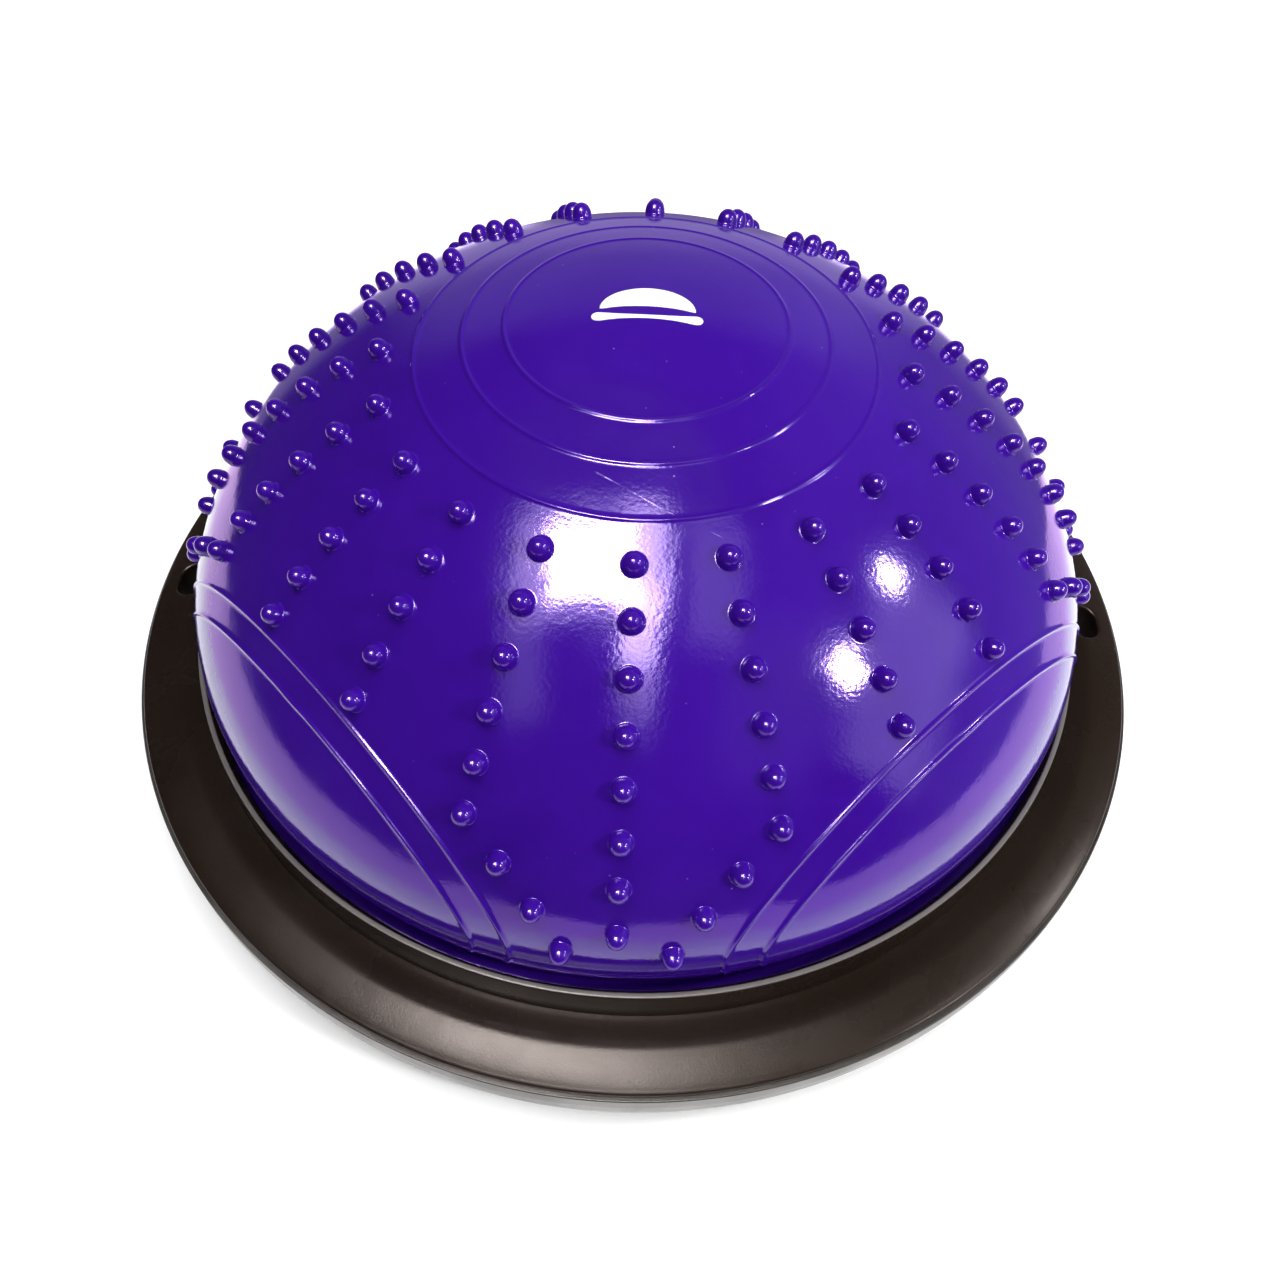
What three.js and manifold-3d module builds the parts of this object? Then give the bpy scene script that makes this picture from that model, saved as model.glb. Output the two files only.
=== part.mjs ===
// Balance dome trainer: an air-filled half-ball clamped between a moulded base
// ring and a bottom platform. Millimetres, +Z up, origin on the floor at the
// centre of the base. The band slots lie on the X axis.
import * as THREE from "three";
import { mergeVertices } from "three/addons/utils/BufferGeometryUtils.js";
import Module from "manifold-3d";

// ---------------------------------------------------------------- dimensions
const BASE_R = 290; // outer radius of the base, 580 mm across
const PARTING_Z = 38.6; // bottom of the base ring's outer edge
const SKIRT_Z = 34.4; // bottom of its locating skirt, inside the platform's wall
const PAN_RIM_Z = 38.0; // top edge of the platform's outer wall
const PAN_BOTTOM_Z = 3.0; // underside of the platform, above the foot pads
const PAN_FLOOR_Z = 7.0; // inside of the platform floor
const RIB_TOP_Z = 20.0; // ribs that carry the bladder's bottom

const LIP_R = 246.3; // inside of the ring, at the foot of its raised lip
const LIP_TOP_Z = 65.4;
const SEAT_Z = 44.6; // face of the ring that presses the bladder's bead

const DOME_R = 245.3; // largest radius of the inflated dome
const DOME_R_Z = 90.0; // height of the largest radius
const DOME_H = 169.2; // height of the crown above it
const DOME_N = 1.854; // exponents of the dome's profile
const DOME_M = 1.528;
const DOME_TUCK = 152.3; // how the wall draws in below its largest radius
const WALL_T = 3.0; // bladder wall
const MEMBRANE_Z = 20.3; // underside of the bladder's flat bottom
const BEAD_R = 256;
const BEAD_LOW_Z = 38.5;
const BEAD_HIGH_Z = 44.0;

const NUB_H = 7.5; // massage nubs
const NUB_R = 5.5;
const NUB_ROWS = [32.8, 38.5, 44.3, 50.3, 56.3, 62.8, 69.6, 78.4]; // profile angle of each row
const NUB_PANELS = 4; // a panel is five meridian columns of nubs, 18 degrees apart
const COLUMN_STEP = 18;
const BEND = [
  [68.2, 13.2],
  [74.9, 9.0],
  [84.4, 5.8],
]; // where a side column turns in towards the panel's middle: profile angle, degrees from the middle

const SLOT_R = 269; // centre of each band slot
const SLOT_L = 23; // along the rim
const SLOT_W = 17; // across the rim
const SLOT_WALL = 2.4;
const SLOT_SPLIT_Z = 24.0; // where the ring's sleeve meets the platform's

const SCREWS = 12;
const SCREW_R = 271; // radius of the screw circle
const SCREW_SHANK_R = 1.9;
const SCREW_HEAD_R = 4.5;
const BOSS_R = 6.0;
const BOSS_SPLIT_Z = 22.0;

const PADS = 8;
const PAD_CIRCLE_R = 262;
const PAD_R = 15;
const PAD_T = 4.5;

const VALVE_HOLE_R = 22; // access hole in the platform
const NECK_R = 6.0; // neck of the valve body, through the bladder's bottom
const VALVE_BORE_R = 3.6;
const STEM_R = 3.3; // plug stem
const GAP = 0.3;

const RIBS = 8; // radial ribs of the platform

const SEG = 48; // sides of the large round parts

// ------------------------------------------------------------------- helpers
const wasm = await Module();
wasm.setup();

function solid(geometry) {
  const g = geometry.clone();
  g.deleteAttribute("normal");
  g.deleteAttribute("uv");
  const m = mergeVertices(g, 1e-4);
  const s = new wasm.Manifold(
    new wasm.Mesh({
      numProp: 3,
      vertProperties: new Float32Array(m.attributes.position.array),
      triVerts: new Uint32Array(m.index.array),
    }),
  );
  return s;
}

function geometryOf(s) {
  const m = s.getMesh();
  const n = m.numProp;
  const v = new Float32Array(m.numVert * 3);
  for (let i = 0; i < m.numVert; i++)
    v.set(m.vertProperties.subarray(i * n, i * n + 3), i * 3);
  const g = new THREE.BufferGeometry();
  g.setAttribute("position", new THREE.BufferAttribute(v, 3));
  g.setIndex(new THREE.BufferAttribute(new Uint32Array(m.triVerts), 1));
  g.computeVertexNormals();
  return g;
}

// A body of revolution about Z from [radius, height] points. Outward faces need
// the points to run anticlockwise in the radius-height plane.
function lathe(points, segments = SEG, turn = 0) {
  const pts = points.map(([r, z]) => new THREE.Vector2(r, z));
  const g = new THREE.LatheGeometry(pts, segments);
  g.rotateX(Math.PI / 2);
  g.rotateZ(turn);
  return g;
}

function closedLathe(points, segments = SEG, turn = 0) {
  return lathe([...points, points[0]], segments, turn);
}

function cylinder(r, z0, z1, sides, x = 0, y = 0) {
  const g = new THREE.CylinderGeometry(r, r, z1 - z0, sides);
  g.rotateX(Math.PI / 2);
  g.translate(x, y, (z0 + z1) / 2);
  return g;
}

function box(x0, x1, y0, y1, z0, z1) {
  const g = new THREE.BoxGeometry(x1 - x0, y1 - y0, z1 - z0);
  g.translate((x0 + x1) / 2, (y0 + y1) / 2, (z0 + z1) / 2);
  return g;
}

// A slot with round ends, long way along Y, at x on the X axis.
function slotPrism(length, width, z0, z1, x) {
  const r = width / 2;
  const h = (length - width) / 2;
  const s = new THREE.Shape();
  s.moveTo(r, -h);
  s.lineTo(r, h);
  s.absarc(0, h, r, 0, Math.PI, false);
  s.lineTo(-r, -h);
  s.absarc(0, -h, r, Math.PI, 2 * Math.PI, false);
  const g = new THREE.ExtrudeGeometry(s, {
    depth: z1 - z0,
    bevelEnabled: false,
    curveSegments: 6,
  });
  g.translate(x, 0, z0);
  return g;
}

// ------------------------------------------------------------- dome profile
function domeRadius(z) {
  if (z >= DOME_R_Z) {
    const t = Math.min(1, (z - DOME_R_Z) / DOME_H);
    const psi = Math.acos(Math.pow(t, DOME_M / 2));
    return DOME_R * Math.pow(Math.sin(psi), 2 / DOME_N);
  }
  const t = (DOME_R_Z - z) / DOME_TUCK;
  return DOME_R * Math.sqrt(1 - t * t);
}

function domePoint(psiDeg) {
  const p = (psiDeg * Math.PI) / 180;
  return [
    DOME_R * Math.pow(Math.sin(p), 2 / DOME_N),
    DOME_R_Z + DOME_H * Math.pow(Math.max(0, Math.cos(p)), 2 / DOME_M),
  ];
}

// ------------------------------------------------------------------ top ring
// Raised lip round the dome, a slight gutter at its foot, and a crowned top that falls to a
// thin edge.
const ringProfile = [
  [LIP_R, SEAT_Z],
  [257.2, SEAT_Z],
  [257.2, 37.2],
  [259.4, 37.2],
  [259.4, 42.6],
  [266.0, 42.6],
  [272.0, 42.0],
  [278.0, 40.8],
  [283.4, 39.2],
  [283.4, SKIRT_Z],
  [285.4, SKIRT_Z],
  [285.6, PARTING_Z],
  [287.6, PARTING_Z],
  [287.9, 40.2],
  [286.2, 41.7],
  [284.0, 42.6],
  [279.5, 44.1],
  [275.0, 45.4],
  [270.5, 46.4],
  [266.0, 47.0],
  [262.0, 47.0],
  [257.0, 46.4],
  [252.5, 46.3],
  [252.0, 56.5],
  [251.5, LIP_TOP_Z - 0.8],
  [250.8, LIP_TOP_Z],
  [249.2, LIP_TOP_Z],
  [248.6, LIP_TOP_Z - 0.8],
  [LIP_R, 54.0],
];

function buildTopRing() {
  let ring = solid(closedLathe(ringProfile));
  for (let i = 0; i < SCREWS; i++) {
    const a = ((i + 0.5) * 2 * Math.PI) / SCREWS;
    const x = SCREW_R * Math.cos(a);
    const y = SCREW_R * Math.sin(a);
    ring = ring.add(
      solid(cylinder(BOSS_R - 0.5, BOSS_SPLIT_Z + GAP, 43.0, 10, x, y)),
    );
    ring = ring.subtract(
      solid(cylinder(SCREW_SHANK_R + 0.4, BOSS_SPLIT_Z - 2, 40, 8, x, y)),
    );
  }
  for (const side of [1, -1]) {
    ring = ring.add(
      solid(
        slotPrism(
          SLOT_L + 2 * SLOT_WALL,
          SLOT_W + 2 * SLOT_WALL,
          SLOT_SPLIT_Z + GAP,
          43,
          side * SLOT_R,
        ),
      ),
    );
    ring = ring.subtract(
      solid(slotPrism(SLOT_L, SLOT_W, SLOT_SPLIT_Z - 4, 60, side * SLOT_R)),
    );
  }
  return ring;
}

// ------------------------------------------------------------- bottom platform
const panProfile = [
  [VALVE_HOLE_R, PAN_BOTTOM_Z],
  [280.8, PAN_BOTTOM_Z],
  [284.6, 6.4],
  [287.6, 12.5],
  [289.2, 20.5],
  [BASE_R, 29.0],
  [BASE_R, 36.6],
  [289.0, PAN_RIM_Z],
  [286.0, PAN_RIM_Z],
  [286.0, 19.0],
  [284.4, 13.5],
  [281.4, 8.8],
  [277.5, PAN_FLOOR_Z],
  [252.0, PAN_FLOOR_Z],
  [252.0, BEAD_LOW_Z - GAP],
  [248.4, BEAD_LOW_Z - GAP],
  [248.4, PAN_FLOOR_Z],
  [151.5, PAN_FLOOR_Z],
  [151.5, RIB_TOP_Z],
  [148.5, RIB_TOP_Z],
  [148.5, PAN_FLOOR_Z],
  [VALVE_HOLE_R + 3, PAN_FLOOR_Z],
  [VALVE_HOLE_R + 3, RIB_TOP_Z],
  [VALVE_HOLE_R, RIB_TOP_Z],
];

function buildBottomPan() {
  let pan = solid(closedLathe(panProfile));
  // radial ribs between the hub and the clamp wall
  for (let i = 0; i < RIBS; i++) {
    const rib = box(
      VALVE_HOLE_R + 1.5,
      232,
      -1.5,
      1.5,
      PAN_FLOOR_Z - 1,
      RIB_TOP_Z,
    );
    rib.rotateZ(((i + 0.5) * 2 * Math.PI) / RIBS);
    pan = pan.add(solid(rib));
  }
  for (let i = 0; i < SCREWS; i++) {
    const a = ((i + 0.5) * 2 * Math.PI) / SCREWS;
    const x = SCREW_R * Math.cos(a);
    const y = SCREW_R * Math.sin(a);
    pan = pan.add(
      solid(cylinder(BOSS_R, PAN_FLOOR_Z - 2, BOSS_SPLIT_Z, 10, x, y)),
    );
    pan = pan.subtract(
      solid(
        cylinder(SCREW_SHANK_R + 0.6, PAN_BOTTOM_Z - 1, BOSS_SPLIT_Z + 1, 8, x, y),
      ),
    );
    pan = pan.subtract(
      solid(cylinder(SCREW_HEAD_R + 0.6, PAN_BOTTOM_Z - 1, 8, 10, x, y)),
    );
  }
  for (const side of [1, -1]) {
    pan = pan.add(
      solid(
        slotPrism(
          SLOT_L + 2 * SLOT_WALL,
          SLOT_W + 2 * SLOT_WALL,
          PAN_FLOOR_Z - 2,
          SLOT_SPLIT_Z,
          side * SLOT_R,
        ),
      ),
    );
    pan = pan.subtract(
      solid(slotPrism(SLOT_L, SLOT_W, PAN_BOTTOM_Z - 2, SLOT_SPLIT_Z + 2, side * SLOT_R)),
    );
  }
  for (let i = 0; i < PADS; i++) {
    const a = ((i + 0.5) * 2 * Math.PI) / PADS;
    pan = pan.subtract(
      solid(
        cylinder(
          PAD_R + 0.5,
          PAN_BOTTOM_Z - 1,
          PAD_T + GAP,
          18,
          PAD_CIRCLE_R * Math.cos(a),
          PAD_CIRCLE_R * Math.sin(a),
        ),
      ),
    );
  }
  return pan;
}

// [profile angle, azimuth from -Y] of every nub
function nubPlaces() {
  const places = [];
  for (let q = 0; q < NUB_PANELS; q++) {
    const middle = (q * 360) / NUB_PANELS;
    NUB_ROWS.forEach((psi, row) => {
      places.push([psi, middle]);
      for (const side of [1, -1]) {
        if (row < 6) places.push([psi, middle + side * COLUMN_STEP]);
        if (row < 5) places.push([psi, middle + side * 2 * COLUMN_STEP]);
      }
    });
    for (const [psi, off] of BEND)
      places.push([psi, middle + off], [psi, middle - off]);
  }
  return places;
}

// ------------------------------------------------------------ dome and valve
const crownAngles = [8, 16, 24, 32, 40, 48, 56, 64, 72, 81];

function buildDome() {
  const outer = [
    [0, MEMBRANE_Z],
    [228, MEMBRANE_Z],
    [238, 27],
    [243, 36],
    [246, BEAD_LOW_Z],
    [BEAD_R - 1, BEAD_LOW_Z],
    [BEAD_R, BEAD_LOW_Z + 1],
    [BEAD_R, BEAD_HIGH_Z - 1],
    [BEAD_R - 1, BEAD_HIGH_Z],
    [242.5, BEAD_HIGH_Z],
    [domeRadius(50), 50],
    [domeRadius(62), 62],
    [domeRadius(75), 75],
    [DOME_R, DOME_R_Z],
    ...crownAngles.toReversed().map(domePoint),
    [0, DOME_R_Z + DOME_H],
  ];
  const inner = [
    [0, MEMBRANE_Z + WALL_T],
    [226.5, MEMBRANE_Z + WALL_T],
    [235.3, 29],
    [235.8, 44],
    [domeRadius(52) - WALL_T, 54],
    [domeRadius(75) - WALL_T, 75],
    [DOME_R - WALL_T, DOME_R_Z],
    ...[72, 56, 40, 24, 12].map((a) => {
      const [r, z] = domePoint(a);
      const [r0, z0] = domePoint(a - 1);
      const [r1, z1] = domePoint(a + 1);
      const l = Math.hypot(r1 - r0, z1 - z0);
      return [r + (WALL_T * (z1 - z0)) / l, z - (WALL_T * (r1 - r0)) / l];
    }),
    [0, DOME_R_Z + DOME_H - WALL_T],
  ];
  let shell = solid(lathe(outer));
  const nub = new THREE.CylinderGeometry(NUB_R * 0.66, NUB_R, NUB_H + 2, 6);
  nub.rotateX(Math.PI / 2);
  nub.translate(0, 0, NUB_H / 2 - 1);
  const out = new THREE.Vector3(0, 0, 1);
  for (const [psi, azimuth] of nubPlaces()) {
    const [r, z] = domePoint(psi);
    const [r0, z0] = domePoint(psi - 0.5);
    const [r1, z1] = domePoint(psi + 0.5);
    const a = (azimuth * Math.PI) / 180;
    const normal = new THREE.Vector3(
      (z0 - z1) * Math.sin(a),
      (z1 - z0) * Math.cos(a),
      r1 - r0,
    ).normalize();
    const g = nub.clone();
    g.applyQuaternion(new THREE.Quaternion().setFromUnitVectors(out, normal));
    g.translate(r * Math.sin(a), -r * Math.cos(a), z);
    shell = shell.add(solid(g));
  }
  return shell
    .subtract(solid(lathe(inner, SEG / 2)))
    .subtract(solid(cylinder(NECK_R + GAP, MEMBRANE_Z - 2, MEMBRANE_Z + 8, 16)));
}

// Soft valve body welded into the bladder's bottom: flange, neck and bore.
const valveInsertProfile = [
  [VALVE_BORE_R, 18.6],
  [NECK_R, 18.6],
  [NECK_R, MEMBRANE_Z + WALL_T + GAP],
  [14.0, MEMBRANE_Z + WALL_T + GAP],
  [14.0, MEMBRANE_Z + WALL_T + 2.0],
  [NECK_R, MEMBRANE_Z + WALL_T + 3.2],
  [NECK_R, 34.0],
  [VALVE_BORE_R, 34.0],
];

// Push-in stopper with a ribbed stem and a gripping flange.
const valvePlugProfile = [
  [0, 14.2],
  [5.0, 14.2],
  [5.0, 15.4],
  [8.6, 16.0],
  [8.6, 18.3],
  [STEM_R, 18.3],
  [STEM_R, 29.0],
  [STEM_R - 1, 31.0],
  [0, 31.0],
];

// Pan-head tapping screw, head down, with a cross recess.
function buildScrew() {
  const body = solid(
    lathe(
      [
        [0, 5.0],
        [3.4, 5.0],
        [SCREW_HEAD_R, 6.1],
        [SCREW_HEAD_R, 7.7],
        [SCREW_SHANK_R, 7.7],
        [SCREW_SHANK_R, 34.5],
        [0, 37.5],
      ],
      8,
    ),
  );
  const cross = solid(box(-2.3, 2.3, -0.5, 0.5, 4, 6.4)).add(
    solid(box(-0.5, 0.5, -2.3, 2.3, 4, 6.4)),
  );
  return body.subtract(cross);
}

// Rubber foot: flat disc with rounded edges.
const padProfile = [
  [0, 0],
  [PAD_R - 1.2, 0],
  [PAD_R, 1.0],
  [PAD_R, PAD_T],
  [0, PAD_T],
];

// ------------------------------------------------------------------ materials
const blackPlastic = new THREE.MeshStandardMaterial({
  color: 0x1f1915,
  roughness: 0.42,
  metalness: 0,
});
const violetVinyl = new THREE.MeshStandardMaterial({
  color: 0x3a0f9c,
  roughness: 0.14,
  metalness: 0,
});
const whiteVinyl = new THREE.MeshStandardMaterial({
  color: 0xd8d6cf,
  roughness: 0.4,
  metalness: 0,
});
const blackRubber = new THREE.MeshStandardMaterial({
  color: 0x17171a,
  roughness: 0.8,
  metalness: 0,
});
const zincSteel = new THREE.MeshStandardMaterial({
  color: 0x9a9ca0,
  roughness: 0.35,
  metalness: 1,
});

// ------------------------------------------------------------------- assembly
const trainer = new THREE.Group();

function place(name, geometry, material, parent = trainer) {
  const mesh = new THREE.Mesh(geometry, material);
  mesh.name = name;
  parent.add(mesh);
  return mesh;
}

const base = new THREE.Group();
trainer.add(base);
place("top_ring", geometryOf(buildTopRing()), blackPlastic, base);
place("bottom_pan", geometryOf(buildBottomPan()), blackPlastic, base);

const padGeometry = lathe(padProfile, 18);
for (let i = 0; i < PADS; i++) {
  const a = ((i + 0.5) * 2 * Math.PI) / PADS;
  const pad = place(`foot_pad_${i + 1}`, padGeometry, blackRubber, base);
  pad.position.set(PAD_CIRCLE_R * Math.cos(a), PAD_CIRCLE_R * Math.sin(a), 0);
}

const screwGeometry = geometryOf(buildScrew());
for (let i = 0; i < SCREWS; i++) {
  const a = ((i + 0.5) * 2 * Math.PI) / SCREWS;
  const screw = place(`base_screw_${i + 1}`, screwGeometry, zincSteel, base);
  screw.position.set(SCREW_R * Math.cos(a), SCREW_R * Math.sin(a), 0);
  screw.rotation.z = a * 1.7;
}

const inflatable = new THREE.Group();
trainer.add(inflatable);
place("dome_bladder", geometryOf(buildDome()), violetVinyl, inflatable);
place("valve_insert", closedLathe(valveInsertProfile, 16), whiteVinyl, inflatable);
place("valve_plug", lathe(valvePlugProfile, 16), whiteVinyl, inflatable);

export default trainer;
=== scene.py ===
import math

import bmesh
import bpy
import numpy as np
from mathutils import Matrix, Vector, kdtree, noise
from mathutils.geometry import delaunay_2d_cdt


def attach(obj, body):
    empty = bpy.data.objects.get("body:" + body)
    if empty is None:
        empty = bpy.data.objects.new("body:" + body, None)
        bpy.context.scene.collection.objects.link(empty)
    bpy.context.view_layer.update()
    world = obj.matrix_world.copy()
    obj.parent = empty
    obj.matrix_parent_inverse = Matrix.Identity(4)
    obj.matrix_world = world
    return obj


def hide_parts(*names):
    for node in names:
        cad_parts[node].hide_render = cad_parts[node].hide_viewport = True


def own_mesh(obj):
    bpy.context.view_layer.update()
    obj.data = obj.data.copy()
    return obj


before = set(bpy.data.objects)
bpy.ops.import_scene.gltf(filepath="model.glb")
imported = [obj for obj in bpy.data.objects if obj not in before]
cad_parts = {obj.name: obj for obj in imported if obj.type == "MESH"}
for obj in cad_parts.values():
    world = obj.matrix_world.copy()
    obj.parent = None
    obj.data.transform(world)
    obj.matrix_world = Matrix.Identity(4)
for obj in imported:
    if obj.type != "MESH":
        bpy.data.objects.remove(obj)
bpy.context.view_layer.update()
scene = bpy.context.scene
MM = 0.001

# =========================================================================== camera
TURN, TILT, ROLL, YAW = 0.0149422, 0.9202176, 0.0360307, 0.003528
back = Vector(
    (math.sin(TURN) * math.cos(TILT), -math.cos(TURN) * math.cos(TILT), math.sin(TILT))
)
right = Vector((math.cos(TURN), math.sin(TURN), 0.0))
up = back.cross(right)
cam_x = math.cos(ROLL) * right + math.sin(ROLL) * up
cam_y = -math.sin(ROLL) * right + math.cos(ROLL) * up
cam_z = back * math.cos(YAW) - cam_x * math.sin(YAW)
cam_x = cam_x * math.cos(YAW) + back * math.sin(YAW)
cam_data = bpy.data.cameras.new("camera")
cam_data.lens, cam_data.sensor_width = 32.526, 36.0
cam_data.clip_start, cam_data.clip_end = 0.01, 60.0
cam = bpy.data.objects.new("camera", cam_data)
scene.collection.objects.link(cam)
place = Matrix((cam_x, cam_y, cam_z)).transposed().to_4x4()
place.translation = Vector((0.006602, -0.441809, 0.586885))
cam.matrix_world = place
scene.camera = cam

# ====================================================================== dimensions (mm)
CROWN_Z, DOME_R, DOME_R_Z, DOME_H = 259.2, 245.3, 90.0, 169.2
DOME_N, DOME_M, DOME_TUCK = 1.854, 1.528, 152.3
WALL = 3.0
SKIN_END_Z = 50.0  # where the free wall turns out into the clamped bead
NUB_H, NUB_R, NUB_FOOT = 7.6, 5.35, 7.0
NUB_ROWS = [32.8, 38.5, 44.3, 50.3, 56.3, 62.8, 69.6, 78.4]
BEND = [(68.2, 13.2), (74.9, 9.0), (84.4, 5.8)]
CROWN_RINGS = [17.19, 22.21, 28.22]  # profile angles of the three crown rings
LIP_R, LIP_TOP_Z, SEAT_Z, PARTING_Z = 246.3, 65.4, 44.6, 38.6
SLOT_R, SLOT_L, SLOT_W, SLOT_WALL, SLOT_SPLIT_Z = 269.0, 23.0, 17.0, 2.4, 24.0
SCREW_R, PAD_CIRCLE_R, PAD_R, PAD_T = 271.0, 262.0, 15.0, 4.5


# ================================================================================ mesh helpers
def new_object(name, verts, faces, smooth=True, angle=None):
    mesh = bpy.data.meshes.new(name)
    mesh.from_pydata([tuple(v) for v in verts], [], [tuple(f) for f in faces])
    mesh.validate(clean_customdata=False)
    mesh.update()
    ob = bpy.data.objects.new(name, mesh)
    scene.collection.objects.link(ob)
    finish_normals(ob, smooth, angle)
    return ob


def finish_normals(ob, smooth=True, angle=None):
    mesh = ob.data
    mesh.polygons.foreach_set("use_smooth", [smooth] * len(mesh.polygons))
    if smooth and angle is not None:
        bm = bmesh.new()
        bm.from_mesh(mesh)
        limit = math.radians(angle)
        for e in bm.edges:
            if len(e.link_faces) == 2 and e.calc_face_angle(0.0) > limit:
                e.smooth = False
        bm.to_mesh(mesh)
        bm.free()
    mesh.update()


def outward(ob):
    bm = bmesh.new()
    bm.from_mesh(ob.data)
    bmesh.ops.recalc_face_normals(bm, faces=bm.faces)
    if bm.calc_volume(signed=True) < 0:
        bmesh.ops.reverse_faces(bm, faces=bm.faces)
    bm.to_mesh(ob.data)
    bm.free()


def lathe(profile, segments, turn=0.0):
    """Closed body of revolution from (r, z) points in mm; a profile either closes on itself or starts and ends on the axis."""
    verts, rows = [], []
    for r, z in profile:
        if r < 1e-6:
            rows.append([len(verts)] * segments)
            verts.append((0.0, 0.0, z * MM))
        else:
            start = len(verts)
            for i in range(segments):
                a = turn + 2 * math.pi * i / segments
                verts.append((r * math.cos(a) * MM, r * math.sin(a) * MM, z * MM))
            rows.append(list(range(start, start + segments)))
    on_axis = profile[0][0] < 1e-6 and profile[-1][0] < 1e-6
    pairs = (
        list(zip(rows, rows[1:])) if on_axis else list(zip(rows, rows[1:] + rows[:1]))
    )
    faces = []
    for p, q in pairs:
        for i in range(segments):
            j = (i + 1) % segments
            f = [p[i], p[j], q[j], q[i]]
            f = [v for k, v in enumerate(f) if v != f[k - 1]]
            if len(f) >= 3:
                faces.append(f)
    return verts, faces


def rounded(points, radii, steps=4):
    """A closed (r, z) outline with each corner rounded to its radius."""
    out, n = [], len(points)
    for i in range(n):
        p = np.array(points[i], float)
        a = np.array(points[i - 1], float) - p
        b = np.array(points[(i + 1) % n], float) - p
        rad = radii[i] if i < len(radii) else 0
        la, lb = np.linalg.norm(a), np.linalg.norm(b)
        if rad <= 0:
            out.append(tuple(p))
            continue
        ua, ub = a / la, b / lb
        half = math.acos(max(-1, min(1, float(ua @ ub)))) / 2
        d = min(rad / math.tan(half), la * 0.45, lb * 0.45)
        p0, p1 = p + ua * d, p + ub * d
        for k in range(steps + 1):
            t = k / steps
            out.append(tuple((1 - t) ** 2 * p0 + 2 * t * (1 - t) * p + t * t * p1))
    return out


def spline(points, per=4):
    """Centripetal Catmull-Rom through (r, z) points."""
    p = [np.array(q, float) for q in points]
    p = [2 * p[0] - p[1]] + p + [2 * p[-1] - p[-2]]
    out = []
    for i in range(1, len(p) - 2):
        p0, p1, p2, p3 = p[i - 1 : i + 3]
        t0 = 0.0
        t1 = t0 + np.linalg.norm(p1 - p0) ** 0.5
        t2 = t1 + np.linalg.norm(p2 - p1) ** 0.5
        t3 = t2 + np.linalg.norm(p3 - p2) ** 0.5
        for k in range(per):
            t = t1 + (t2 - t1) * k / per
            a1 = (t1 - t) / (t1 - t0) * p0 + (t - t0) / (t1 - t0) * p1
            a2 = (t2 - t) / (t2 - t1) * p1 + (t - t1) / (t2 - t1) * p2
            a3 = (t3 - t) / (t3 - t2) * p2 + (t - t2) / (t3 - t2) * p3
            b1 = (t2 - t) / (t2 - t0) * a1 + (t - t0) / (t2 - t0) * a2
            b2 = (t3 - t) / (t3 - t1) * a2 + (t - t1) / (t3 - t1) * a3
            out.append(tuple((t2 - t) / (t2 - t1) * b1 + (t - t1) / (t2 - t1) * b2))
    out.append(tuple(p[-2]))
    return out


def boolean(ob, other, operation):
    """ob and other joined or cut; other is removed."""
    m = ob.modifiers.new("cut", "BOOLEAN")
    m.operation, m.object = operation, other
    m.solver = "MANIFOLD"
    dg = bpy.context.evaluated_depsgraph_get()
    result = bpy.data.meshes.new_from_object(ob.evaluated_get(dg))
    before = len(ob.data.polygons)
    if len(result.polygons) < before * 0.5:
        m.solver = "EXACT"
        dg = bpy.context.evaluated_depsgraph_get()
        result = bpy.data.meshes.new_from_object(ob.evaluated_get(dg))
    ob.modifiers.remove(m)
    old = ob.data
    ob.data = result
    bpy.data.meshes.remove(old)
    bpy.data.objects.remove(other)


def merged(name, parts):
    """One object from several (verts, faces) that don't touch."""
    verts, faces = [], []
    for v, f in parts:
        n = len(verts)
        verts += list(v)
        faces += [[i + n for i in q] for q in f]
    ob = new_object(name, verts, faces)
    outward_parts(ob)
    return ob


def outward_parts(ob):
    bm = bmesh.new()
    bm.from_mesh(ob.data)
    bmesh.ops.recalc_face_normals(bm, faces=bm.faces)
    bm.to_mesh(ob.data)
    bm.free()


def moved(part, x, y, z=0.0, turn=0.0):
    c, s = math.cos(turn), math.sin(turn)
    v, f = part
    return [
        (c * a - s * b + x * MM, s * a + c * b + y * MM, h + z * MM) for a, b, h in v
    ], f


def obround(length, width, steps=12):
    """Points of a slot's outline, long way along Y, in mm."""
    r, h = width / 2, (length - width) / 2
    pts = []
    for k in range(steps + 1):
        a = math.pi * k / steps
        pts.append((r * math.cos(a), h + r * math.sin(a)))
    for k in range(steps + 1):
        a = math.pi + math.pi * k / steps
        pts.append((r * math.cos(a), -h + r * math.sin(a)))
    return pts


def stack(levels):
    """Closed prism-like body through loops of equal length."""
    n = len(levels[0])
    verts = [p for loop in levels for p in loop]
    faces = [list(range(n))[::-1]]
    for k in range(len(levels) - 1):
        for i in range(n):
            j = (i + 1) % n
            faces.append([k * n + i, k * n + j, (k + 1) * n + j, (k + 1) * n + i])
    faces.append(list(range((len(levels) - 1) * n, len(levels) * n)))
    return verts, faces


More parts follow.
